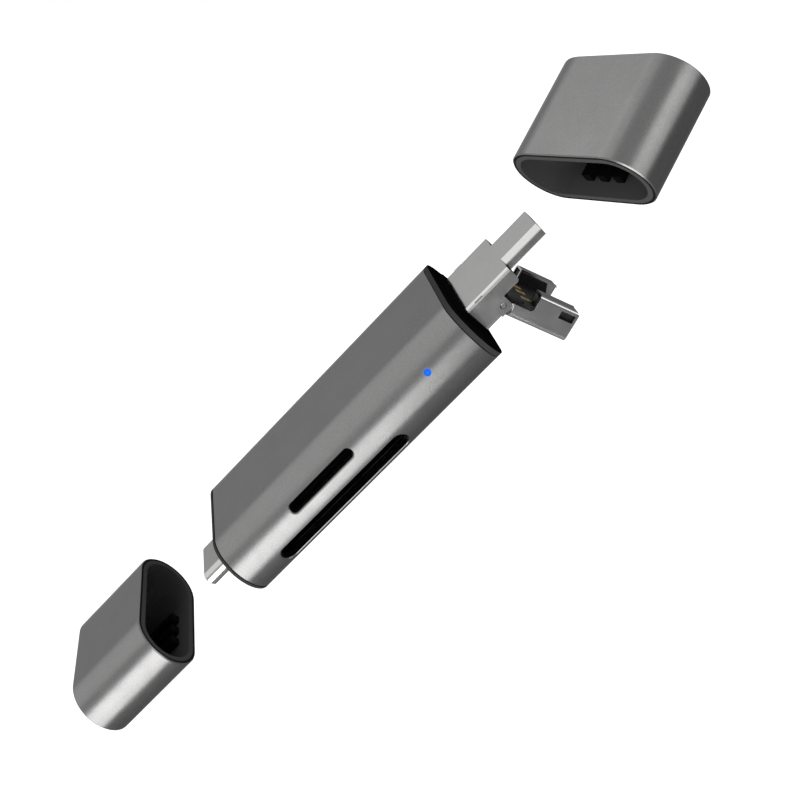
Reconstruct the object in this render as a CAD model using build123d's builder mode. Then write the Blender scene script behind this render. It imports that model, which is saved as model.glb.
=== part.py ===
# Pocket memory card reader: a pill-section aluminium tube with two card slots, a USB-C plug at
# one end, and at the other a micro-B plug behind a hinged USB-A front shell. Both caps are off.
# Millimetres, +Z up. The origin is the middle of the tube's flat underside, +X runs along the
# tube towards the hinged plug, and the card slots open towards -Y.
import os
from math import cos, radians, sin

from build123d import *

os.makedirs("parts", exist_ok=True)

# Tube
body_length = 46.0
body_width = 22.5
body_height = 10.4
wall = 1.2
rim_break = 0.15

# Card slots, which the sockets behind them set the places of
sd_slot_length = 24.6
sd_slot_height = 2.6
microsd_slot_length = 12.0
microsd_slot_height = 1.4
slot_play = 0.2
slot_rim = 0.15

# Status light: its hole, at an angle down the round side from straight up, and its parts
light_setback = 7.2
light_angle = 64.0
light_bore = 1.0
light_fit = 0.05
light_collar = 0.4
light_collar_length = 0.7
light_pipe_start = 2.2
led_length = 1.6
led_depth = 0.8
led_height = 0.6

# Moulded end frames
frame_depth = 3.0
frame_fit = 0.05
c_flange = 0.4
hinge_flange = 0.7
plinth_height = 0.7
plinth_margin = 0.7
plinth_over = 0.95
plinth_under = 0.1
plinth_radius = 1.1

# USB-C plug
c_width = 8.25
c_height = 2.4
c_reach = 6.8
c_sheet = 0.25
c_lip = 0.2
c_cavity_width = 7.0
c_cavity_height = 1.2
c_cavity_depth = 5.6
c_contact_pitch = 0.5
c_contact_width = 0.25
c_contact_count = 12
c_contact_start = 1.4

# Fixed base of the USB-A plug, with reaches from the tube's end
a_width = 12.0
a_height = 4.5
a_sheet = 0.3
a_radius = 0.6
base_reach = 9.15
base_bottom_reach = 4.0
ear_reach = 6.15
ear_step = 0.18
ear_radius = 0.6
ear_corner = 0.5
lance_reach = 3.6
lance_length = 1.35
lance_height = 0.15
lance_proud = 0.1

# Hinge pin
pin_reach = 5.15
pin_drop = 1.17
pin_radius = 0.4
pin_proud = 0.08
pin_running = 0.05

# Micro-B plug
micro_width = 6.85
micro_height = 1.8
micro_flat = 5.3
micro_slope = 0.7
micro_fold = 0.25
micro_reach = 15.6
micro_root = 1.6
micro_sheet = 0.25
micro_lip = 0.2
micro_tongue = 0.6
micro_cavity_depth = 5.0
micro_contact_pitch = 0.65
micro_contact_width = 0.35
micro_contact_count = 5

# Hinged front shell of the USB-A plug, measured from the pin: out along it, and up
flip_open = 74.0
flip_reach = 10.45
flip_clear_radius = 1.45
flip_step = 4.15
flip_step_slope = 0.3
flip_strip_top = 0.85
flip_tip_round = 0.7
flip_window = 7.5
flip_flange = 1.85
latch_start = 7.8
latch_length = 2.25
latch_height = 1.1
latch_up = 2.1
arm_radius = 0.95
arm_gap = 0.1
arm_reach = 2.5
arm_top = 0.7
joggle_length = 0.4

# Moulded tongue inside the hinged shell
barrel_gap = 0.15
hinge_block = 1.5
tongue_gap = 0.1
tongue_thick = 0.4
tongue_setback = 0.45
liner_thick = 0.2
liner_end = 9.4
liner_slope = 0.8
side_block_setback = 0.2
side_block_top = 2.85
latch_depth = 0.3
window_start = 2.65
window_length = 1.6

# Contacts of the USB-A plug
a_contact_width = 1.0
a_contact_thick = 0.14
a_contact_inner = 2.0
a_contact_outer = 7.0
a_contact_margin = 0.4

# Circuit board and what stands on it
board_thick = 0.8
board_rise = -0.1
board_gap = 0.1
board_side_gap = 0.6
solder_tail = 1.5
solder_tail_thick = 0.15
tail_gap = 0.3
chip_height = 0.8
controller_size = 5.0
controller_gap = 1.5
controller_y = 1.0
hub_size = 4.0
hub_setback = 7.6
hub_y = 3.2
crystal_length = 3.2
crystal_width = 2.5
crystal_height = 0.7
crystal_setback = 12.6
crystal_y = -5.6
capacitor_length = 1.0
capacitor_width = 0.5
capacitor_pitch = 1.5
capacitor_count = 4
capacitor_y = -2.2

# Card sockets
socket_gap = 0.4
socket_sheet = 0.2
socket_wall = 0.8
sd_socket_floor = 0.4
sd_contact_count = 9
sd_contact_pitch = 2.5
microsd_socket_depth = 13.6
microsd_socket_floor = 1.25
microsd_contact_count = 8
microsd_contact_pitch = 1.1
socket_contact_width = 0.6
socket_contact_thick = 0.2
socket_contact_length = 4.5
socket_contact_end = 1.5

# Caps, alike but for their places
cap_length = 15.4
cap_end = 1.2
cap_plate = 1.0
cap_fit = 0.05
rib_count = 3
rib_pitch = 2.6
rib_width = 1.3
rib_height = 1.4
rib_setback = 2.3
pad_width = 3.8
pad_height = 0.4
pad_y = 3.9
pad_setback = 0.3
cap_c_gap = 16.5
cap_a_gap = 23.6
cap_a_y = -3.5
cap_a_rise = 2.4
cap_a_yaw = 26.0
cap_a_nose_up = 5.3
cap_a_roll = 12.3

# Places that follow from the sizes above
mid = body_height / 2
side_radius = body_height / 2
round_y = body_width / 2 - side_radius
inner_width = body_width - 2 * wall
inner_height = body_height - 2 * wall
inner_radius = side_radius - wall
body_end = body_length / 2
frame_inner = body_end - frame_depth
c_face = -body_end - c_flange
c_tip = c_face - c_reach
base_front = body_end + base_reach
base_bottom_front = body_end + base_bottom_reach
ear_front = body_end + ear_reach
pin_x = body_end + pin_reach
micro_tip = body_end + micro_reach
micro_rear = body_end - micro_root
light_x = body_end - light_setback
a_half = a_height / 2
a_top = a_half + pin_drop
a_bottom = pin_drop - a_half
micro_low = mid + a_half - micro_height
tongue_top = a_top - micro_height - tongue_gap
tongue_low = tongue_top - tongue_thick
board_z = mid + board_rise
board_low = board_z - board_thick / 2
board_top = board_z + board_thick / 2
sd_card_room = sd_slot_height - slot_play
sd_slot_z = board_low - sd_socket_floor - sd_card_room / 2
microsd_card_room = microsd_slot_height - slot_play
microsd_slot_z = board_top + microsd_socket_floor + microsd_card_room / 2
slot_x = -frame_inner + solder_tail + tail_gap + sd_slot_length / 2 + socket_wall + socket_sheet


def across(x, z=mid):
    """Plane square to the tube at x: its x is Y and its y is Z."""
    return Plane(origin=(x, 0, z), x_dir=(0, 1, 0), z_dir=(1, 0, 0))


def seen_from_side(x, y, z):
    """Plane seen from the card side: its x is X and its y is Z."""
    return Plane(origin=(x, y, z), x_dir=(1, 0, 0), z_dir=(0, -1, 0))


def on_round(point):
    """Whether a point lies on the tube's outside at the card side's round."""
    return Vector(0, point.Y + round_y, point.Z - mid).length > side_radius - wall / 4


def inner_half(z):
    """Half the tube's inner width at a height."""
    return round_y + (inner_radius ** 2 - (z - mid) ** 2) ** 0.5


# Tube: an extrusion with both slots milled through one round side, and the light's hole
with BuildPart() as housing_sleeve:
    with BuildSketch(across(-body_end)):
        SlotOverall(body_width, body_height)
        SlotOverall(inner_width, inner_height, mode=Mode.SUBTRACT)
    extrude(amount=body_length)
    chamfer(housing_sleeve.faces().filter_by(Axis.X).edges(), rim_break)
    for length, height, slot_z in ((sd_slot_length, sd_slot_height, sd_slot_z),
                                   (microsd_slot_length, microsd_slot_height, microsd_slot_z)):
        with BuildSketch(seen_from_side(slot_x, -round_y, slot_z)):
            SlotOverall(length, height)
        extrude(amount=body_width, mode=Mode.SUBTRACT)
        cut_edges = housing_sleeve.edges(Select.LAST)
        chamfer(cut_edges.filter_by(lambda e: on_round(e @ 0) and on_round(e @ 1)), slot_rim)
    light_out = Vector(0, -sin(radians(light_angle)), cos(radians(light_angle)))
    light_axis = Plane(origin=(light_x, -round_y, mid), x_dir=(1, 0, 0), z_dir=light_out)
    with BuildSketch(light_axis.offset(side_radius - 2 * wall)):
        Circle(light_bore / 2)
    extrude(amount=3 * wall, mode=Mode.SUBTRACT)
housing_sleeve.part.label = "housing_sleeve"
export_step(housing_sleeve.part, "parts/housing_sleeve.step")

# Clear light pipe: a rod in the hole, with a collar against the tube's inside
collar_radius = light_bore / 2 + light_collar
collar_top = (inner_radius ** 2 - collar_radius ** 2) ** 0.5 - light_fit
with BuildPart() as led_light_pipe:
    with BuildSketch(light_axis.offset(light_pipe_start)):
        Circle(light_bore / 2 - light_fit)
    extrude(amount=side_radius - light_pipe_start)
    with BuildSketch(light_axis.offset(collar_top - light_collar_length)):
        Circle(collar_radius)
    extrude(amount=light_collar_length)
led_light_pipe.part.label = "led_light_pipe"
export_step(led_light_pipe.part, "parts/led_light_pipe.step")

# Frame at the hinged end: spigot in the tube, flange over its cut edge, and a raised plinth
# round the connector, thickest above it
with BuildPart() as flip_end_frame:
    with BuildSketch(across(frame_inner)):
        SlotOverall(inner_width - 2 * frame_fit, inner_height - 2 * frame_fit)
    extrude(amount=frame_depth)
    with BuildSketch(across(body_end)):
        SlotOverall(body_width, body_height)
    extrude(amount=hinge_flange)
    with BuildSketch(across(body_end + hinge_flange, mid + (plinth_over - plinth_under) / 2)):
        RectangleRounded(a_width + 2 * plinth_margin, a_height + plinth_over + plinth_under,
                         plinth_radius)
    extrude(amount=plinth_height)
    with BuildSketch(across(frame_inner)):
        RectangleRounded(a_width + 2 * frame_fit, a_height + 2 * frame_fit, a_radius + frame_fit)
    extrude(amount=frame_depth + hinge_flange + plinth_height, mode=Mode.SUBTRACT)
flip_end_frame.part.label = "flip_end_frame"
export_step(flip_end_frame.part, "parts/flip_end_frame.step")

# Frame at the USB-C end: spigot in the tube, and a thin flange over its cut edge
with BuildPart() as type_c_end_frame:
    with BuildSketch(across(c_face)):
        SlotOverall(body_width, body_height)
    extrude(amount=c_flange)
    with BuildSketch(across(-body_end)):
        SlotOverall(inner_width - 2 * frame_fit, inner_height - 2 * frame_fit)
    extrude(amount=frame_depth)
    with BuildSketch(across(c_face)):
        SlotOverall(c_width + 2 * frame_fit, c_height + 2 * frame_fit)
    extrude(amount=frame_depth + c_flange, mode=Mode.SUBTRACT)
type_c_end_frame.part.label = "type_c_end_frame"
export_step(type_c_end_frame.part, "parts/type_c_end_frame.step")

# USB-C plug: drawn shell, moulded liner with the mating cavity, and two rows of contacts
with BuildPart() as type_c_shell:
    with BuildSketch(across(c_tip)):
        SlotOverall(c_width, c_height)
        SlotOverall(c_width - 2 * c_sheet, c_height - 2 * c_sheet, mode=Mode.SUBTRACT)
    extrude(amount=-frame_inner - c_tip)
    chamfer(type_c_shell.faces().sort_by(Axis.X)[0].outer_wire().edges(), c_sheet / 2)
type_c_shell.part.label = "type_c_shell"
export_step(type_c_shell.part, "parts/type_c_shell.step")

with BuildPart() as type_c_insulator:
    with BuildSketch(across(c_tip + c_lip)):
        SlotOverall(c_width - 2 * c_sheet - frame_fit, c_height - 2 * c_sheet - frame_fit)
        SlotOverall(c_cavity_width, c_cavity_height, mode=Mode.SUBTRACT)
    extrude(amount=c_cavity_depth)
    with BuildSketch(across(c_tip + c_lip + c_cavity_depth)):
        SlotOverall(c_width - 2 * c_sheet - frame_fit, c_height - 2 * c_sheet - frame_fit)
    extrude(amount=-frame_inner - c_tip - c_lip - c_cavity_depth)
type_c_insulator.part.label = "type_c_insulator"
export_step(type_c_insulator.part, "parts/type_c_insulator.step")

with BuildPart() as type_c_contacts:
    for side in (-1, 1):
        spring_z = mid + side * (c_cavity_height - solder_tail_thick) / 2
        with BuildSketch(across(c_tip + c_contact_start, spring_z)):
            with GridLocations(c_contact_pitch, 0, c_contact_count, 1):
                Rectangle(c_contact_width, solder_tail_thick)
        extrude(amount=c_lip + c_cavity_depth - c_contact_start)
        tail_z = board_z + side * (board_thick + solder_tail_thick) / 2
        with BuildSketch(across(-frame_inner, tail_z)):
            with GridLocations(c_contact_pitch, 0, c_contact_count, 1):
                Rectangle(c_contact_width, solder_tail_thick)
        extrude(amount=solder_tail)
type_c_contacts.part.label = "type_c_contacts"
export_step(type_c_contacts.part, "parts/type_c_contacts.step")

# Fixed base of the USB-A plug: a folded tube whose front is cut to a pair of hinge ears
with BuildPart() as base_shell:
    with BuildSketch(across(frame_inner)):
        RectangleRounded(a_width, a_height, a_radius)
        RectangleRounded(a_width - 2 * a_sheet, a_height - 2 * a_sheet, a_radius - a_sheet,
                         mode=Mode.SUBTRACT)
    extrude(amount=base_front - frame_inner)
    with BuildSketch(across(base_bottom_front, mid - a_half)):
        Rectangle(a_width, 2 * a_radius)
    extrude(amount=base_front, mode=Mode.SUBTRACT)
    with BuildSketch(across(base_bottom_front, mid - a_half / 2)):
        with GridLocations(a_width - a_sheet, 0, 2, 1):
            Rectangle(a_sheet, a_half)
    extrude(amount=ear_front - base_bottom_front)
    # The ears' outline, seen from the side
    with BuildSketch(seen_from_side(0, 0, mid)) as ear_outline:
        with BuildLine():
            Polyline((frame_inner, -a_half), (ear_front, -a_half), (ear_front, -ear_step),
                     (base_front, -ear_step), (base_front, a_half), (frame_inner, a_half), close=True)
        make_face()
        fillet(ear_outline.vertices().sort_by_distance((ear_front, -a_half))[0], ear_radius)
        fillet(ear_outline.vertices().sort_by_distance((base_front, -ear_step))[0], ear_corner)
    extrude(amount=a_width, both=True, mode=Mode.INTERSECT)
    with BuildSketch(seen_from_side(pin_x, 0, mid - pin_drop)):
        Circle(pin_radius)
    extrude(amount=a_width, both=True, mode=Mode.SUBTRACT)
    # A lance pressed out of each upper fold grips the moulded core
    with Locations((body_end + lance_reach, 0, mid + a_half - a_radius / 3)):
        with GridLocations(0, a_width - a_radius / 2, 1, 2):
            Box(lance_length, 2 * lance_proud, lance_height)
base_shell.part.label = "base_shell"
export_step(base_shell.part, "parts/base_shell.step")


def micro_section(inset=0.0):
    """The micro-B plug's narrow-topped section, from the middle of its lower face."""
    half = micro_width / 2
    flat = micro_flat / 2
    with BuildSketch() as section:
        with BuildLine():
            Polyline((-half, 0), (half, 0), (half, micro_height - micro_slope), (flat, micro_height),
                     (-flat, micro_height), (-half, micro_height - micro_slope), close=True)
        make_face()
        fillet(section.vertices(), micro_fold)
        if inset:
            offset(amount=-inset, mode=Mode.REPLACE)
    return section.sketch


# Micro-B plug: inside the base its shell stops under the base's top sheet, flush in front of it
with BuildPart() as micro_b_shell:
    with BuildSketch(across(micro_rear, micro_low)):
        add(micro_section())
        add(micro_section(micro_sheet), mode=Mode.SUBTRACT)
    extrude(amount=micro_tip - micro_rear)
    with BuildSketch(across(micro_rear, mid + a_half)):
        Rectangle(a_width, 2 * a_sheet)
    extrude(amount=base_front - micro_rear, mode=Mode.SUBTRACT)
micro_b_shell.part.label = "micro_b_shell"
export_step(micro_b_shell.part, "parts/micro_b_shell.step")

micro_cavity_height = micro_height - 2 * micro_sheet - micro_tongue
with BuildPart() as micro_b_insulator:
    with BuildSketch(across(micro_rear, micro_low)):
        add(micro_section(micro_sheet))
    extrude(amount=micro_tip - micro_rear - micro_lip)
    with BuildSketch(across(micro_tip, micro_low + micro_sheet + micro_cavity_height / 2)):
        Rectangle(micro_width - 4 * micro_sheet, micro_cavity_height)
    extrude(amount=-micro_cavity_depth, mode=Mode.SUBTRACT)
    with BuildSketch(across(micro_rear, mid + a_half)):
        Rectangle(a_width, 2 * a_sheet)
    extrude(amount=base_front - micro_rear, mode=Mode.SUBTRACT)
micro_b_insulator.part.label = "micro_b_insulator"
export_step(micro_b_insulator.part, "parts/micro_b_insulator.step")

with BuildPart() as micro_b_contacts:
    spring_z = micro_low + micro_sheet + micro_cavity_height - solder_tail_thick / 2
    with BuildSketch(across(micro_tip - micro_cavity_depth, spring_z)):
        with GridLocations(micro_contact_pitch, 0, micro_contact_count, 1):
            Rectangle(micro_contact_width, solder_tail_thick)
    extrude(amount=micro_cavity_depth - 4 * micro_lip)
    with BuildSketch(across(frame_inner, board_top + solder_tail_thick / 2)):
        with GridLocations(2 * micro_contact_pitch, 0, micro_contact_count, 1):
            Rectangle(micro_contact_width, solder_tail_thick)
    extrude(amount=-solder_tail)
micro_b_contacts.part.label = "micro_b_contacts"
export_step(micro_b_contacts.part, "parts/micro_b_contacts.step")

# Moulded core of the base: fills it behind the hinge and holds the micro-B plug above it
core_inset = a_sheet + frame_fit
with BuildPart() as base_core:
    with BuildSketch(across(frame_inner)):
        RectangleRounded(a_width - 2 * core_inset, a_height - 2 * core_inset, a_radius - a_sheet)
    extrude(amount=base_front - frame_inner)
    with BuildSketch(seen_from_side(base_bottom_front, 0, micro_low)):
        Rectangle(a_width, a_height, align=(Align.MIN, Align.MAX))
    extrude(amount=a_width, both=True, mode=Mode.SUBTRACT)
    with BuildSketch(seen_from_side(pin_x, 0, mid - pin_drop)):
        Circle(arm_radius + barrel_gap)
    extrude(amount=a_width, both=True, mode=Mode.SUBTRACT)
    with BuildSketch(across(micro_rear, micro_low)):
        add(micro_section(-frame_fit))
    extrude(amount=micro_tip - micro_rear, mode=Mode.SUBTRACT)
base_core.part.label = "base_core"
export_step(base_core.part, "parts/base_core.step")

# Hinge pin, pressed through both ears with its ends turned over
with BuildPart() as hinge_pin:
    with BuildSketch(seen_from_side(pin_x, 0, mid - pin_drop)):
        Circle(pin_radius)
    extrude(amount=a_width / 2 + pin_proud, both=True)
    chamfer(hinge_pin.faces().filter_by(Axis.Y).edges(), pin_proud)
hinge_pin.part.label = "hinge_pin"
export_step(hinge_pin.part, "parts/hinge_pin.step")

# Planes of the hinged shell, turned about the pin by the angle at which it stands open
flip_along = Vector(cos(radians(flip_open)), 0, -sin(radians(flip_open)))
flip_up = Vector(sin(radians(flip_open)), 0, cos(radians(flip_open)))
pin_point = Vector(pin_x, 0, mid - pin_drop)
flip_side = Plane(origin=pin_point, x_dir=flip_along, z_dir=(0, -1, 0))
flip_flat = Plane(origin=pin_point, x_dir=flip_along, z_dir=flip_up)


def flip_across(along, up):
    """Plane square to the hinged shell: its x is Y and its y is up from the pin."""
    return Plane(origin=pin_point + flip_along * along + flip_up * up, x_dir=(0, 1, 0),
                 z_dir=flip_along)


# Hinged front shell: folded tube, open over the micro-B plug, on a joggled arm inside each ear
arm_y = a_width / 2 - a_sheet - arm_gap - a_sheet / 2
arm_low = a_bottom + a_sheet
with BuildPart() as flip_shell:
    with BuildSketch(flip_across(0, (a_top + a_bottom) / 2)):
        RectangleRounded(a_width, a_height, a_radius)
        RectangleRounded(a_width - 2 * a_sheet, a_height - 2 * a_sheet, a_radius - a_sheet,
                         mode=Mode.SUBTRACT)
    extrude(amount=flip_reach)
    with BuildSketch(flip_side) as flip_outline:
        with BuildLine():
            Polyline((0, a_bottom), (flip_reach, a_bottom), (flip_reach, a_top), (flip_step, a_top),
                     (flip_step, flip_strip_top + flip_step_slope),
                     (flip_step - flip_step_slope, flip_strip_top), (0, flip_strip_top), close=True)
        make_face()
        fillet(flip_outline.vertices().sort_by_distance((flip_reach, a_top))[0], flip_tip_round)
        Circle(flip_clear_radius, mode=Mode.SUBTRACT)
    extrude(amount=a_width, both=True, mode=Mode.INTERSECT)
    with BuildSketch(flip_flat.offset(a_top)):
        Rectangle(3 * flip_reach, flip_window)
    extrude(amount=-2 * a_sheet, mode=Mode.SUBTRACT)
    with BuildSketch(flip_side):
        with Locations((latch_start + latch_length / 2, latch_up)):
            Rectangle(latch_length, latch_height)
    extrude(amount=a_width, both=True, mode=Mode.SUBTRACT)
    # Edges of the window turned down beside the micro-B plug
    with BuildSketch(flip_across(flip_step, a_top - flip_flange / 2)):
        with GridLocations(flip_window + a_sheet, 0, 2, 1):
            Rectangle(a_sheet, flip_flange)
    extrude(amount=flip_reach - flip_tip_round / 2 - flip_step)
    # The arms, set in from the sides by a joggle
    for centre in (-arm_y, arm_y):
        with BuildSketch(flip_side.offset(centre - a_sheet / 2)):
            Circle(arm_radius)
            with Locations((arm_reach / 2, (arm_top + arm_low) / 2)):
                Rectangle(arm_reach, arm_top - arm_low)
        extrude(amount=a_sheet)
    with BuildSketch(flip_across(arm_reach - joggle_length, (arm_top + arm_low) / 2)):
        with GridLocations(a_width - 2 * a_sheet - arm_gap, 0, 2, 1):
            Rectangle(arm_gap + a_sheet, arm_top - arm_low)
    extrude(amount=joggle_length)
    with BuildSketch(flip_side):
        Circle(pin_radius + pin_running)
    extrude(amount=a_width, both=True, mode=Mode.SUBTRACT)
flip_shell.part.label = "flip_shell"
export_step(flip_shell.part, "parts/flip_shell.step")

# Tongue: hinge barrel and block, a thin plate with a window over each contact, a liner inside
# each flange, and a block outside it that fills the shell's side as far as the latch needs
barrel_half = arm_y - a_sheet / 2 - frame_fit
plate_half = a_width / 2 - a_sheet - frame_fit
plate_end = flip_reach - tongue_setback
block_low = arm_low + frame_fit
block_inner = flip_window / 2 + a_sheet + frame_fit
block_outer = a_width / 2 - a_sheet - latch_depth
contact_spread = (-a_contact_outer / 2, -a_contact_inner / 2, a_contact_inner / 2, a_contact_outer / 2)
with BuildPart() as flip_tongue:
    with BuildSketch(flip_side):
        Circle(arm_radius)
        with BuildLine():
            Polyline((0, block_low), (hinge_block, block_low), (hinge_block, tongue_low),
                     (plate_end, tongue_low), (plate_end, tongue_top), (0, tongue_top), close=True)
        make_face()
    extrude(amount=barrel_half, both=True)
    with BuildSketch(flip_across(arm_reach + frame_fit, (tongue_low + tongue_top) / 2)):
        Rectangle(2 * plate_half, tongue_thick)
    extrude(amount=plate_end - arm_reach - frame_fit)
    with BuildSketch(flip_flat.offset(tongue_top)):
        with Locations([(window_start + window_length / 2, y) for y in contact_spread]):
            Rectangle(window_length, a_contact_width)
    extrude(amount=-tongue_thick, mode=Mode.SUBTRACT)
    with BuildSketch(flip_across(flip_step + side_block_setback, (tongue_top + side_block_top) / 2)):
        with GridLocations(block_inner + block_outer, 0, 2, 1):
            Rectangle(block_outer - block_inner, side_block_top - tongue_top)
    extrude(amount=flip_reach - flip_step - 2 * side_block_setback)
    with BuildSketch(flip_across(plate_end, (tongue_low + tongue_top) / 2)):
        with GridLocations(block_inner + block_outer, 0, 2, 1):
            Rectangle(block_outer - block_inner, tongue_thick)
    extrude(amount=tongue_setback - side_block_setback)
    for centre in (-flip_window / 2 + liner_thick / 2, flip_window / 2 - liner_thick / 2):
        with BuildSketch(flip_side.offset(centre - liner_thick / 2)):
            with BuildLine():
                Polyline((flip_step, tongue_low), (liner_end, tongue_low),
                         (liner_end - liner_slope, a_top - a_sheet), (flip_step, a_top - a_sheet),
                         close=True)
            make_face()
        extrude(amount=liner_thick)
    with BuildSketch(flip_side):
        Circle(pin_radius + pin_running)
    extrude(amount=a_width, both=True, mode=Mode.SUBTRACT)
flip_tongue.part.label = "flip_tongue"
export_step(flip_tongue.part, "parts/flip_tongue.step")

# Contacts of the USB-A plug: strips under the tongue, which show through its windows
with BuildPart() as flip_contacts:
    with BuildSketch(flip_across(hinge_block, tongue_low - a_contact_thick / 2)):
        with Locations([(y, 0) for y in contact_spread]):
            Rectangle(a_contact_width, a_contact_thick)
    extrude(amount=plate_end - a_contact_margin - hinge_block)
flip_contacts.part.label = "flip_contacts"
export_step(flip_contacts.part, "parts/flip_contacts.step")

# Circuit board between the two frames, and the small parts soldered to its upper face
with BuildPart() as circuit_board:
    with BuildSketch(Plane.XY.offset(board_low)):
        Rectangle(2 * frame_inner - 2 * board_gap, 2 * (inner_half(board_low) - board_side_gap))
    extrude(amount=board_thick)
circuit_board.part.label = "circuit_board"
export_step(circuit_board.part, "parts/circuit_board.step")

led_y = -round_y - (led_height / 2 + board_top - mid) * sin(radians(light_angle)) / cos(radians(light_angle))
microsd_end = slot_x + microsd_slot_length / 2 + socket_wall + socket_sheet
controller_x = microsd_end + controller_gap + controller_size / 2
hub_x = body_end - hub_setback
crystal_x = body_end - crystal_setback
board_parts = (("controller_chip", controller_x, controller_y, controller_size, controller_size, chip_height),
               ("hub_chip", hub_x, hub_y, hub_size, hub_size, chip_height),
               ("crystal", crystal_x, crystal_y, crystal_length, crystal_width, crystal_height),
               ("status_led", light_x, led_y, led_length, led_depth, led_height))
for name, x, y, length, width, height in board_parts:
    with BuildPart() as board_part:
        with BuildSketch(Plane(origin=(x, y, board_top))):
            Rectangle(length, width)
        extrude(amount=height)
    board_part.part.label = name
    export_step(board_part.part, f"parts/{name}.step")

with BuildPart() as capacitors:
    with BuildSketch(Plane(origin=(hub_x, capacitor_y, board_top))):
        with GridLocations(capacitor_pitch, 0, capacitor_count, 1):
            Rectangle(capacitor_width, capacitor_length)
    extrude(amount=capacitor_width)
capacitors.part.label = "capacitors"
export_step(capacitors.part, "parts/capacitors.step")


def card_socket(name, face_z, facing, front, width, depth, floor, room, contact_count, contact_pitch):
    """Socket on one face of the board: moulded base, folded cover and contacts."""

    def mouth(inset=0.0):
        """Plane at the socket's mouth, its y pointing away from the board, its normal inwards."""
        return Plane(origin=(slot_x, inset - front, face_z), x_dir=(-facing, 0, 0), z_dir=(0, 1, 0))

    with BuildPart() as base:
        with BuildSketch(mouth()):
            with Locations((0, floor / 2)):
                Rectangle(width, floor)
            with Locations((0, floor + room / 2)):
                with GridLocations(width - socket_wall, 0, 2, 1):
                    Rectangle(socket_wall, room)
        extrude(amount=depth)
        with BuildSketch(mouth(depth - socket_wall)):
            with Locations((0, (floor + room) / 2)):
                Rectangle(width, floor + room)
        extrude(amount=socket_wall)
    with BuildPart() as shell:
        with BuildSketch(mouth()):
            with Locations((0, floor + room + socket_sheet / 2)):
                Rectangle(width + 2 * socket_sheet, socket_sheet)
            with Locations((0, (floor + room) / 2)):
                with GridLocations(width + socket_sheet, 0, 2, 1):
                    Rectangle(socket_sheet, floor + room)
        extrude(amount=depth)
    with BuildPart() as contacts:
        with BuildSketch(mouth(depth - socket_contact_end - socket_contact_length)):
            with Locations((0, floor + socket_contact_thick / 2)):
                with GridLocations(contact_pitch, 0, contact_count, 1):
                    Rectangle(socket_contact_width, socket_contact_thick)
        extrude(amount=socket_contact_length)
    for piece, made in (("base", base), ("shell", shell), ("contacts", contacts)):
        made.part.label = f"{name}_{piece}"
        export_step(made.part, f"parts/{name}_{piece}.step")


sd_front = inner_half(board_low - sd_socket_floor - sd_card_room - socket_sheet) - socket_gap
card_socket("sd_socket", board_low, -1, sd_front, sd_slot_length + 2 * socket_wall, 2 * sd_front,
            sd_socket_floor, sd_card_room, sd_contact_count, sd_contact_pitch)
microsd_top = board_top + microsd_socket_floor + microsd_card_room + socket_sheet
card_socket("microsd_socket", board_top, 1, inner_half(microsd_top) - socket_gap,
            microsd_slot_length + 2 * socket_wall, microsd_socket_depth, microsd_socket_floor,
            microsd_card_room, microsd_contact_count, microsd_contact_pitch)


def cap(name, mouth, pad_side):
    """Cap from the plane of its mouth, whose normal points to its closed end."""
    with BuildPart() as shell:
        with BuildSketch(mouth):
            SlotOverall(body_width, body_height)
        extrude(amount=cap_length)
        for rim in (mouth, mouth.offset(cap_length)):
            chamfer(shell.faces().sort_by_distance(rim.origin)[0].edges(), rim_break)
        with BuildSketch(mouth):
            SlotOverall(inner_width, inner_height)
        extrude(amount=cap_length - cap_end, mode=Mode.SUBTRACT)
    with BuildPart() as insert:
        with BuildSketch(mouth.offset(cap_length - cap_end - cap_plate)):
            SlotOverall(inner_width - 2 * cap_fit, inner_height - 2 * cap_fit)
        extrude(amount=cap_plate)
        with BuildSketch(mouth.offset(rib_setback)):
            with Locations((0, cap_fit + (rib_height - inner_height) / 2)):
                with GridLocations(rib_pitch, 0, rib_count, 1):
                    Rectangle(rib_width, rib_height)
        extrude(amount=cap_length - cap_end - cap_plate - rib_setback)
        with BuildSketch(mouth.offset(pad_setback)):
            with Locations((pad_side * pad_y, (inner_height - pad_height) / 2 - cap_fit)):
                Rectangle(pad_width, pad_height)
        extrude(amount=cap_length - cap_end - cap_plate - pad_setback)
    for piece, made in (("shell", shell), ("insert", insert)):
        made.part.label = f"{name}_{piece}"
        export_step(made.part, f"parts/{name}_{piece}.step")


# The USB-C end's cap stands off in line, and the hinged end's cap lies askew
cap("cap_c", Plane(origin=(c_face - cap_c_gap, 0, mid), x_dir=(0, -1, 0), z_dir=(-1, 0, 0)), -1)

yaw, nose_up, roll = radians(cap_a_yaw), radians(cap_a_nose_up), radians(cap_a_roll)
cap_a_along = Vector(cos(nose_up) * cos(yaw), cos(nose_up) * sin(yaw), sin(nose_up))
cap_a_level = Vector(-sin(yaw), cos(yaw), 0)
cap_a_across = cap_a_level * cos(roll) + cap_a_along.cross(cap_a_level) * sin(roll)
cap("cap_a", Plane(origin=(body_end + cap_a_gap, cap_a_y, mid + cap_a_rise), x_dir=cap_a_across,
                   z_dir=cap_a_along), 1)
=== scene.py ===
from math import cos, pi, radians, sin

import bmesh
import bpy
from mathutils import Matrix, Vector


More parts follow.
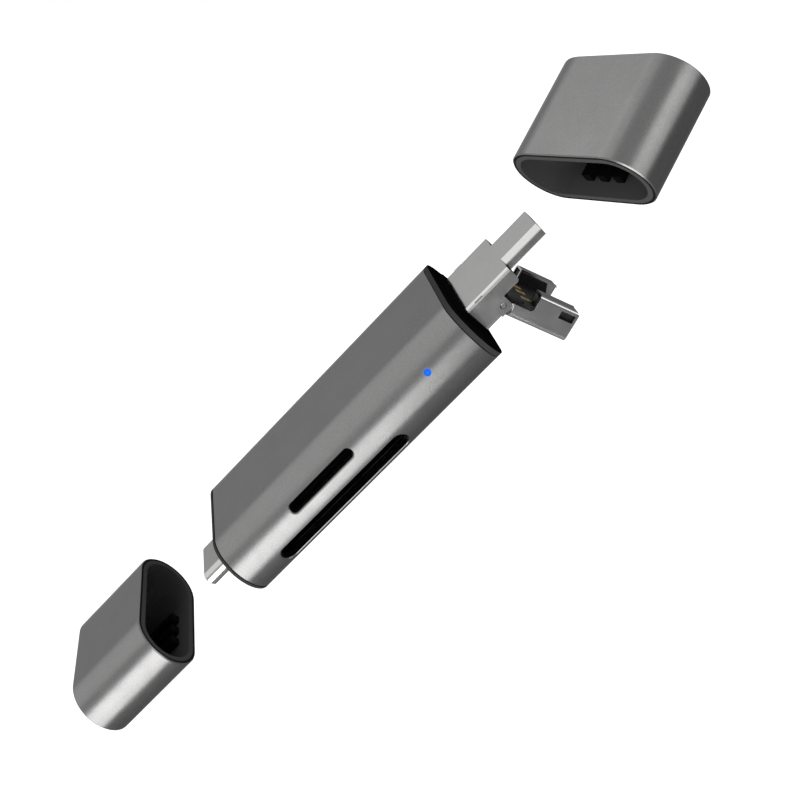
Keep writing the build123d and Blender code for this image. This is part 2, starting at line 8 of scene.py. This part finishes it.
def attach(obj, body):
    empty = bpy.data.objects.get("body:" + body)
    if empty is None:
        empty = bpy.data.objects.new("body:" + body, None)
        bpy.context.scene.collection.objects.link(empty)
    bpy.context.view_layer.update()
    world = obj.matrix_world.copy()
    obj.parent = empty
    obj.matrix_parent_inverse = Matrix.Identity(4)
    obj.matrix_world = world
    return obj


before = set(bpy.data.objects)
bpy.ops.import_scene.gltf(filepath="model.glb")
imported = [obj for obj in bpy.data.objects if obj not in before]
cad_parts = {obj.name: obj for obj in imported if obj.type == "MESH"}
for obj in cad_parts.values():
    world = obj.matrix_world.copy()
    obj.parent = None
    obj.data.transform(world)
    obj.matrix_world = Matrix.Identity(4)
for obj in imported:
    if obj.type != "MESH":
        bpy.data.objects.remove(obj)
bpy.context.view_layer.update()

# Circuit board
# Glass-fibre laminate under green solder mask, milled to length and laid across the tube.
# The weave of the fibre shows faintly through the mask.
mask_dark = (0.015, 0.080, 0.035)
mask_light = (0.025, 0.120, 0.055)
mask_roughness = 0.35
weave_cells = 700.0


def surface(name, colour, metallic, roughness):
    """A new material with its node tree and its shader."""
    material = bpy.data.materials.new(name)
    material.use_nodes = True
    shader = material.node_tree.nodes["Principled BSDF"]
    shader.inputs["Base Color"].default_value = (*colour, 1.0)
    shader.inputs["Metallic"].default_value = metallic
    shader.inputs["Roughness"].default_value = roughness
    return material, material.node_tree, shader


def grain(tree, cells, detail=2.0):
    """Noise in the piece's own coordinates, with so many cells to the metre."""
    place = tree.nodes.new("ShaderNodeTexCoord")
    noise = tree.nodes.new("ShaderNodeTexNoise")
    noise.inputs["Scale"].default_value = cells
    noise.inputs["Detail"].default_value = detail
    tree.links.new(place.outputs["Object"], noise.inputs["Vector"])
    return noise.outputs["Fac"]


def shaded(tree, value, dark, light, socket, start=0.3, end=0.7):
    """Two shades mixed by a varying value."""
    ramp = tree.nodes.new("ShaderNodeValToRGB")
    ramp.color_ramp.elements[0].position = start
    ramp.color_ramp.elements[0].color = (*dark, 1.0)
    ramp.color_ramp.elements[1].position = end
    ramp.color_ramp.elements[1].color = (*light, 1.0)
    tree.links.new(value, ramp.inputs["Fac"])
    tree.links.new(ramp.outputs["Color"], socket)


def dress(node, material):
    """Gives a finish to every slot of a node."""
    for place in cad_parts[node].material_slots:
        place.material = material


solder_mask, tree, shader = surface("solder_mask", mask_light, 0.0, mask_roughness)
shaded(tree, grain(tree, weave_cells), mask_dark, mask_light, shader.inputs["Base Color"])
dress("circuit_board", solder_mask)

# Chips
# Black epoxy blocks, moulded with a matt skin and soldered to the board's upper face.
epoxy_dark = (0.015, 0.015, 0.015)
epoxy_light = (0.025, 0.025, 0.025)
epoxy_roughness = 0.5
epoxy_cells = 7000.0
epoxy_bump = 0.2
epoxy_depth = 0.00002


def rough_skin(tree, shader, value, strength, depth):
    """Bump of a given depth in metres."""
    bump = tree.nodes.new("ShaderNodeBump")
    bump.inputs["Strength"].default_value = strength
    bump.inputs["Distance"].default_value = depth
    tree.links.new(value, bump.inputs["Height"])
    tree.links.new(bump.outputs["Normal"], shader.inputs["Normal"])


moulded_epoxy, tree, shader = surface("moulded_epoxy", epoxy_light, 0.0, epoxy_roughness)
pits = grain(tree, epoxy_cells)
shaded(tree, pits, epoxy_dark, epoxy_light, shader.inputs["Base Color"])
rough_skin(tree, shader, pits, epoxy_bump, epoxy_depth)
for node in ("controller_chip", "hub_chip"):
    dress(node, moulded_epoxy)

# Capacitors
# Small blocks of fired ceramic with a sandy skin, in a row beside the hub chip.
ceramic_dark = (0.30, 0.20, 0.12)
ceramic_light = (0.40, 0.28, 0.18)
ceramic_roughness = 0.4
ceramic_cells = 5000.0
fired_ceramic, tree, shader = surface("fired_ceramic", ceramic_light, 0.0, ceramic_roughness)
shaded(tree, grain(tree, ceramic_cells), ceramic_dark, ceramic_light,
       shader.inputs["Base Color"])
dress("capacitors", fired_ceramic)

# Crystal and card sockets
# Each socket is a folded sheet-steel cover with a satin nickel plate over a black moulded base,
# with a row of gold-plated spring contacts. The crystal's can has the same plate.
nickel_dark = (0.375, 0.373, 0.370)
nickel_light = (0.405, 0.403, 0.400)
nickel_edge = (0.50, 0.50, 0.50)
nickel_roughness = (0.14, 0.20)
nickel_patches = 500.0
nickel_cells = 6000.0
nickel_bump = 0.06
nickel_depth = 0.00002
gold_dark = (0.50, 0.33, 0.10)
gold_light = (0.62, 0.42, 0.14)
gold_roughness = (0.24, 0.40)
gold_patches = 3000.0
nylon_dark = (0.0016, 0.0016, 0.0018)
nylon_light = (0.0036, 0.0036, 0.0040)
nylon_roughness = (0.38, 0.52)
nylon_patches = 900.0
nylon_cells = 9000.0
nylon_bump = 0.25
nylon_depth = 0.00003
nylon_gleam = 0.03
fine_detail = 3.0


def ranged(tree, value, low, high, socket, start=0.3, end=0.7):
    """A varying value, carried into a range and on to a socket."""
    span = tree.nodes.new("ShaderNodeMapRange")
    span.inputs["From Min"].default_value = start
    span.inputs["From Max"].default_value = end
    span.inputs["To Min"].default_value = low
    span.inputs["To Max"].default_value = high
    tree.links.new(value, span.inputs["Value"])
    tree.links.new(span.outputs["Result"], socket)


def plated(name, dark=nickel_dark, light=nickel_light):
    """Satin nickel plate on sheet steel, with a fine speckle."""
    material, tree, shader = surface(name, light, 1.0, nickel_roughness[0])
    shader.inputs["Specular Tint"].default_value = (*nickel_edge, 1.0)
    satin = grain(tree, nickel_cells, fine_detail)
    ranged(tree, grain(tree, nickel_patches), *nickel_roughness, shader.inputs["Roughness"])
    rough_skin(tree, shader, satin, nickel_bump, nickel_depth)
    shaded(tree, satin, dark, light, shader.inputs["Base Color"])
    return material, tree, shader


def gilded(name, dark, light, roughness):
    """Gold plate on a spring, duller where it is rubbed."""
    material, tree, shader = surface(name, light, 1.0, roughness[0])
    rubbed = grain(tree, gold_patches)
    ranged(tree, rubbed, *roughness, shader.inputs["Roughness"])
    shaded(tree, rubbed, dark, light, shader.inputs["Base Color"])
    return material


def moulded(name, light, roughness, gleam):
    """Black nylon with the fine skin of its spark-cut mould, and the value of that skin."""
    material, tree, shader = surface(name, light, 0.0, roughness[0])
    shader.inputs["Specular IOR Level"].default_value = gleam
    spark = grain(tree, nylon_cells, fine_detail)
    ranged(tree, grain(tree, nylon_patches), *roughness, shader.inputs["Roughness"])
    rough_skin(tree, shader, spark, nylon_bump, nylon_depth)
    return material, tree, shader, spark


satin_nickel, tree, shader = plated("satin_nickel")
gold_plate = gilded("gold_plate", gold_dark, gold_light, gold_roughness)
black_nylon, tree, shader, spark = moulded("black_nylon", nylon_light, nylon_roughness,
                                           nylon_gleam)
shaded(tree, spark, nylon_dark, nylon_light, shader.inputs["Base Color"])
dress("crystal", satin_nickel)
for socket in ("sd_socket", "microsd_socket"):
    dress(socket + "_shell", satin_nickel)
    dress(socket + "_base", black_nylon)
    dress(socket + "_contacts", gold_plate)

# Status light
# A blue diode on the board, and a clear moulded rod that carries its light to the hole in the
# tube's round side, a little paler at the middle of its end.
light_place = (0.01580, -0.01072, 0.00748)
light_middle = 0.00012
light_fade = 0.00040
blue_dark = (0.002, 0.010, 0.060)
blue_glow = (0.001, 0.105, 1.00)
blue_middle = (0.012, 0.180, 1.00)
rod_roughness = 0.3
rod_gleam = 0.04


def near(tree, place, radius, fade, ways=(1.0, 1.0, 1.0)):
    """One within a radius of a point, measured the given ways, and fading to zero outside it."""
    here = tree.nodes.new("ShaderNodeTexCoord")
    away = tree.nodes.new("ShaderNodeVectorMath")
    away.operation = "SUBTRACT"
    away.inputs[1].default_value = place
    counted = tree.nodes.new("ShaderNodeVectorMath")
    counted.operation = "MULTIPLY"
    counted.inputs[1].default_value = ways
    reach = tree.nodes.new("ShaderNodeVectorMath")
    reach.operation = "LENGTH"
    edge = tree.nodes.new("ShaderNodeMapRange")
    edge.interpolation_type = "SMOOTHSTEP"
    edge.inputs["From Min"].default_value = radius
    edge.inputs["From Max"].default_value = radius + fade
    edge.inputs["To Min"].default_value = 1.0
    edge.inputs["To Max"].default_value = 0.0
    tree.links.new(here.outputs["Object"], away.inputs[0])
    tree.links.new(away.outputs["Vector"], counted.inputs[0])
    tree.links.new(counted.outputs["Vector"], reach.inputs[0])
    tree.links.new(reach.outputs["Value"], edge.inputs["Value"])
    return edge.outputs["Result"]


lit_blue, tree, shader = surface("lit_blue", blue_dark, 0.0, rod_roughness)
shader.inputs["Specular IOR Level"].default_value = rod_gleam
shader.inputs["Emission Strength"].default_value = 1.0
shaded(tree, near(tree, light_place, light_middle, light_fade), blue_glow, blue_middle,
       shader.inputs["Emission Color"], start=0.0, end=1.0)
for node in ("status_led", "led_light_pipe"):
    dress(node, lit_blue)

# USB-C plug
# A drawn seamless steel shell with a darker satin plate, round a black moulded liner with
# gold-plated springs; it stands on the board's end.
drawn_dark = (0.300, 0.298, 0.295)
drawn_light = (0.325, 0.323, 0.320)
drawn_nickel, tree, shader = plated("drawn_nickel", drawn_dark, drawn_light)
dress("type_c_shell", drawn_nickel)
dress("type_c_insulator", black_nylon)
dress("type_c_contacts", gold_plate)

# Tube
# A length of pill-shaped aluminium extrusion, milled for the two card slots, bead-blasted and
# anodised a dark silver grey, slid over the board and its frames. Round the status light's hole
# it has a painted blue glow.
blasted_dark = (0.117, 0.116, 0.115)
blasted_light = (0.151, 0.150, 0.149)
blasted_cells = 7000.0
blasted_bump = 0.22
blasted_depth = 0.00003
anodised_edge = (0.62, 0.62, 0.62)
anodised_roughness = (0.27, 0.33)
anodised_patches = 260.0
halo_blue = (0.10, 0.30, 0.80)
halo_strength = 0.16
halo_inner = 0.00042
halo_fade = 0.00050


def anodised(name):
    """The blasted grey finish of the extrusion, with its speckle."""
    material, tree, shader = surface(name, blasted_light, 1.0, anodised_roughness[0])
    shader.inputs["Specular Tint"].default_value = (*anodised_edge, 1.0)
    fine = grain(tree, blasted_cells, fine_detail)
    ranged(tree, grain(tree, anodised_patches), *anodised_roughness,
           shader.inputs["Roughness"])
    rough_skin(tree, shader, fine, blasted_bump, blasted_depth)
    shaded(tree, fine, blasted_dark, blasted_light, shader.inputs["Base Color"])
    return material, tree, shader


anodised_tube, tree, shader = anodised("anodised_tube")
# Painted glow: the tube's own surface gives out blue light round the status light's hole.
shader.inputs["Emission Color"].default_value = (*halo_blue, 1.0)
ranged(tree, near(tree, light_place, halo_inner, halo_fade), 0.0, halo_strength,
       shader.inputs["Emission Strength"], start=0.0, end=1.0)
dress("housing_sleeve", anodised_tube)

# End frames
# Black nylon mouldings pressed into the tube's ends. Their flanges cover its sawn edge, and
# the rims of the flanges carry a painted grey sheen on their outer sides.
painted_sheen_grey = (0.036, 0.036, 0.037)
frame_roughness = (0.42, 0.58)
frame_gleam = 0.0
side_centre = 0.00605
flange_edge = 0.0050
tube_middle = (0.0, 0.0, 0.0052)
lengthwise = Vector((1.0, 0.0, 0.0))
sideways = Vector((0.0, 1.0, 0.0))


def pill_reach(tree, place, along, across):
    """The distance from a pill section's middle line, from its place, its axis and its width."""
    here = tree.nodes.new("ShaderNodeTexCoord")
    in_pill = tree.nodes.new("ShaderNodeMapping")
    in_pill.vector_type = "TEXTURE"
    in_pill.inputs["Location"].default_value = place
    in_pill.inputs["Rotation"].default_value = Matrix(
        (across, along.cross(across), along)).transposed().to_euler()
    tree.links.new(here.outputs["Object"], in_pill.inputs["Vector"])
    value = in_pill.outputs["Vector"]
    for step, amount in (("ABSOLUTE", None), ("SUBTRACT", (side_centre, 0.0, 0.0)),
                         ("MAXIMUM", (0.0, 0.0, 0.0)), ("MULTIPLY", (1.0, 1.0, 0.0)),
                         ("LENGTH", None)):
        work = tree.nodes.new("ShaderNodeVectorMath")
        work.operation = step
        if amount:
            work.inputs[1].default_value = amount
        tree.links.new(value, work.inputs[0])
        value = work.outputs["Value" if step == "LENGTH" else "Vector"]
    return value


def faces(tree, direction):
    """How squarely the surface faces a direction."""
    facing = tree.nodes.new("ShaderNodeTexCoord")
    towards = tree.nodes.new("ShaderNodeVectorMath")
    towards.operation = "DOT_PRODUCT"
    towards.inputs[1].default_value = direction
    tree.links.new(facing.outputs["Normal"], towards.inputs[0])
    return towards.outputs["Value"]


def worked(tree, operation, first, second=None):
    """One step of arithmetic on a value, with a number or another value."""
    step = tree.nodes.new("ShaderNodeMath")
    step.operation = operation
    for number, term in enumerate((first, second)):
        if isinstance(term, float):
            step.inputs[number].default_value = term
        elif term:
            tree.links.new(term, step.inputs[number])
    return step.outputs[0]


painted_sheen_nylon, tree, shader, spark = moulded("painted_sheen_nylon", nylon_light, frame_roughness,
                                            frame_gleam)
# Painted sheen: the outer sides of the flange rims get a lighter grey than the flat faces.
on_rim = worked(tree, "GREATER_THAN",
                pill_reach(tree, tube_middle, lengthwise, sideways), flange_edge)
rim_side = worked(tree, "SUBTRACT", 1.0, worked(tree, "ABSOLUTE", faces(tree, lengthwise)))
shaded(tree, worked(tree, "MULTIPLY", on_rim, rim_side), nylon_light, painted_sheen_grey,
       shader.inputs["Base Color"], start=0.2, end=0.8)
for node in ("type_c_end_frame", "flip_end_frame"):
    dress(node, painted_sheen_nylon)

# Micro-B plug
# A folded steel shell round a black moulded liner with gold-plated springs, held in the front
# of the USB-A plug's fixed half.
dress("micro_b_shell", satin_nickel)
dress("micro_b_insulator", black_nylon)
dress("micro_b_contacts", gold_plate)

# Fixed half of the USB-A plug
# A folded steel tube with two hinge ears round a black moulded core. A painted shadow
# darkens a ring round the pin, where it passes through the holes of the ears.
pin_axis = (0.02815, 0.0, 0.00403)
across_pin = (1.0, 0.0, 1.0)
pin_ring = 0.00042
ring_fade = 0.00010
ring_shadow = (0.180, 0.180, 0.180)


def laid_over(tree, shader, colour, where):
    """A second colour over the first wherever a value is one."""
    skin = shader.inputs["Base Color"]
    layers = tree.nodes.new("ShaderNodeMix")
    layers.data_type = "RGBA"
    layers.inputs["B"].default_value = (*colour, 1.0)
    tree.links.new(skin.links[0].from_socket, layers.inputs["A"])
    tree.links.new(where, layers.inputs["Factor"])
    tree.links.new(layers.outputs["Result"], skin)


pin_shadow_nickel, tree, shader = plated("pin_shadow_nickel")
# Painted shadow: a darker ring laid over the plate round the pin.
laid_over(tree, shader, ring_shadow, near(tree, pin_axis, pin_ring, ring_fade, across_pin))
dress("base_shell", pin_shadow_nickel)
dress("base_core", black_nylon)

# Hinged half of the USB-A plug
# A folded steel shell, with its window and latch openings, over a moulded tongue with four
# gold-plated springs. Each spring bows up through its own opening in the tongue's plate.
tongue_dark = (0.009, 0.009, 0.009)
tongue_light = (0.015, 0.015, 0.015)
tongue_gleam = 0.10
hinge_turn = radians(74.0)
flip_along = Vector((cos(hinge_turn), 0.0, -sin(hinge_turn)))
flip_up = Vector((sin(hinge_turn), 0.0, cos(hinge_turn)))
bow_size = (0.00150, 0.00090, 0.00044)
bow_ahead = 0.00345
bow_height = 0.00134
bow_sides = (-0.0035, -0.0010, 0.0010, 0.0035)
bow_round = 0.00008
bow_dark = (0.300, 0.210, 0.070)
bow_light = (0.420, 0.300, 0.110)
bow_roughness = (0.34, 0.48)
bow_middle = Vector(pin_axis) + flip_along * bow_ahead + flip_up * bow_height
bow_turn = Matrix((flip_along, sideways, flip_up)).transposed().to_4x4()
bows = bmesh.new()
for side in bow_sides:
    placed = Matrix.Translation(bow_middle + sideways * side) @ bow_turn
    bmesh.ops.create_cube(bows, size=1.0, matrix=placed @ Matrix.Diagonal((*bow_size, 1.0)))
bmesh.ops.bevel(bows, geom=bows.edges[:], offset=bow_round, affect="EDGES", segments=2,
                profile=0.5, material=-1)
bow_mesh = bpy.data.meshes.new("contact_bows")
bows.to_mesh(bow_mesh)
bows.free()
contact_bows = bpy.data.objects.new("contact_bows", bow_mesh)
bpy.context.scene.collection.objects.link(contact_bows)
bow_mesh.materials.append(gilded("dull_gold", bow_dark, bow_light, bow_roughness))
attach(contact_bows, "flip_front")
moulded_tongue, tree, shader, spark = moulded("moulded_tongue", tongue_light,
                                              nylon_roughness, tongue_gleam)
shaded(tree, spark, tongue_dark, tongue_light, shader.inputs["Base Color"])
dress("flip_shell", satin_nickel)
dress("flip_tongue", moulded_tongue)
dress("flip_contacts", gold_plate)
dress("hinge_pin", satin_nickel)

# Caps
# The same extrusion as the tube, closed at the far end, with a black moulding of three ribs
# pressed in. Their sawn mouths and their bores are painted with shade: a dark matt grey in place
# of the metal.
painted_rim_shade = (0.0112, 0.0112, 0.0114)
painted_bore_shade = (0.056, 0.056, 0.057)
bore_edge = 0.0047
square_on = 0.9
cap_gleam = 0.0
cap_c_mouth = (-0.0399, 0.0, 0.0052)
cap_a_mouth = (0.0466, -0.0035, 0.0076)
cap_a_yaw = radians(26.0)
cap_a_lift = radians(5.3)
cap_a_roll = radians(12.3)
cap_a_along = Vector((cos(cap_a_lift) * cos(cap_a_yaw), cos(cap_a_lift) * sin(cap_a_yaw),
                      sin(cap_a_lift)))
cap_a_level = Vector((-sin(cap_a_yaw), cos(cap_a_yaw), 0.0))
cap_a_across = (cap_a_level * cos(cap_a_roll)
                + cap_a_along.cross(cap_a_level) * sin(cap_a_roll))
for cap, mouth, along, across in (
        ("cap_c", cap_c_mouth, -lengthwise, -sideways),
        ("cap_a", cap_a_mouth, cap_a_along, cap_a_across)):
    anodised_cap, tree, shader = anodised("anodised_" + cap)
    shader.inputs["Specular IOR Level"].default_value = cap_gleam
    # Painted shade: the mouth's end face and the bore get dark grey laid over them, and lose
    # their metal.
    sawn = worked(tree, "GREATER_THAN", faces(tree, -along), square_on)
    bore = worked(tree, "LESS_THAN", pill_reach(tree, mouth, along, across), bore_edge)
    laid_over(tree, shader, painted_rim_shade, sawn)
    laid_over(tree, shader, painted_bore_shade, bore)
    ranged(tree, worked(tree, "MAXIMUM", sawn, bore), 1.0, 0.0, shader.inputs["Metallic"],
           start=0.0, end=1.0)
    dress(cap + "_shell", anodised_cap)
    dress(cap + "_insert", black_nylon)

# Table top
# Plain white paper on a table far below the reader and its caps, which float over it, so that
# no shadow of theirs shows. It looks white, but sends little light up to them.
paper_white = (0.40, 0.40, 0.40)
paper_glow = 0.90
paper_roughness = 0.9
paper_half = 3.0
drop = 0.38
sheet = bmesh.new()
bmesh.ops.create_grid(sheet, x_segments=1, y_segments=1, size=paper_half)
bmesh.ops.translate(sheet, verts=sheet.verts, vec=(0.0, 0.0, -drop))
table_mesh = bpy.data.meshes.new("table_top")
sheet.to_mesh(table_mesh)
sheet.free()
table_top = bpy.data.objects.new("table_top", table_mesh)
bpy.context.scene.collection.objects.link(table_top)
white_paper, tree, shader = surface("white_paper", paper_white, 0.0, paper_roughness)
shader.inputs["Emission Color"].default_value = (1.0, 1.0, 1.0, 1.0)
seen = tree.nodes.new("ShaderNodeLightPath")
ranged(tree, seen.outputs["Is Camera Ray"], 0.0, paper_glow,
       shader.inputs["Emission Strength"], start=0.0, end=1.0)
table_mesh.materials.append(white_paper)

# Room
# White to the eye, in metal and through clear things, and half as bright as a light on matt
# ones.
room_light = 0.55
room = bpy.data.worlds.new("room")
bpy.context.scene.world = room
room.use_nodes = True
tree = room.node_tree
tree.nodes.clear()
seen = tree.nodes.new("ShaderNodeLightPath")
white = tree.nodes.new("ShaderNodeBackground")
white.inputs["Color"].default_value = (1.0, 1.0, 1.0, 1.0)
room_out = tree.nodes.new("ShaderNodeOutputWorld")
eye_or_metal = worked(tree, "MAXIMUM", seen.outputs["Is Camera Ray"],
                      seen.outputs["Is Glossy Ray"])
any_sight = worked(tree, "MAXIMUM", eye_or_metal, seen.outputs["Is Transmission Ray"])
ranged(tree, any_sight, room_light, 1.0, white.inputs["Strength"], start=0.0, end=1.0)
tree.links.new(white.outputs["Background"], room_out.inputs["Surface"])

# Lamps
# A wide soft box overhead and a small one behind for the flat tops, and two low in front: the
# left one draws the bright line along the tube's slotted side, the right one lights the ends.


def softbox(name, place, width, height, radiance, roll=0.0):
    """A rectangular lamp of an even brightness, facing the reader, rolled in its own plane."""
    lamp = bpy.data.lights.new(name, "AREA")
    lamp.shape = "RECTANGLE"
    lamp.size = width
    lamp.size_y = height
    lamp.energy = radiance * pi * width * height
    holder = bpy.data.objects.new(name, lamp)
    aim = (-Vector(place)).to_track_quat("-Z", "Y").to_matrix().to_4x4()
    holder.matrix_world = Matrix.Translation(place) @ aim @ Matrix.Rotation(roll, 4, "Z")
    bpy.context.scene.collection.objects.link(holder)


softbox("overhead_box", (-0.30, 0.17, 1.10), width=1.80, height=1.74, radiance=0.87,
        roll=radians(-10.0))
softbox("back_box", (0.20, 0.64, 0.80), width=0.45, height=0.55, radiance=0.65)
softbox("front_box", (-0.265, -0.440, -0.030), width=0.37, height=0.50, radiance=6.0)
softbox("side_box", (0.43, -0.30, -0.01), width=0.24, height=0.38, radiance=2.4)

# Camera
# Some fifteen centimetres away, looking down on the slotted side, and rolled so that the tube
# climbs from lower left to upper right.
camera_place = (0.0422041, -0.1314973, 0.0687949)
camera_right = Vector((0.683273, -0.173752, -0.709188))
camera_up = Vector((0.694050, 0.456231, 0.556910))
camera_back = camera_right.cross(camera_up)
camera_data = bpy.data.cameras.new("camera")
camera_data.sensor_width = 36.0
camera_data.lens = 49.02
camera_data.clip_start = 0.005
camera = bpy.data.objects.new("camera", camera_data)
turn = Matrix((camera_right, camera_up, camera_back)).transposed().to_4x4()
camera.matrix_world = Matrix.Translation(camera_place) @ turn
bpy.context.scene.collection.objects.link(camera)
bpy.context.scene.camera = camera
bpy.context.scene.view_settings.view_transform = "Standard"
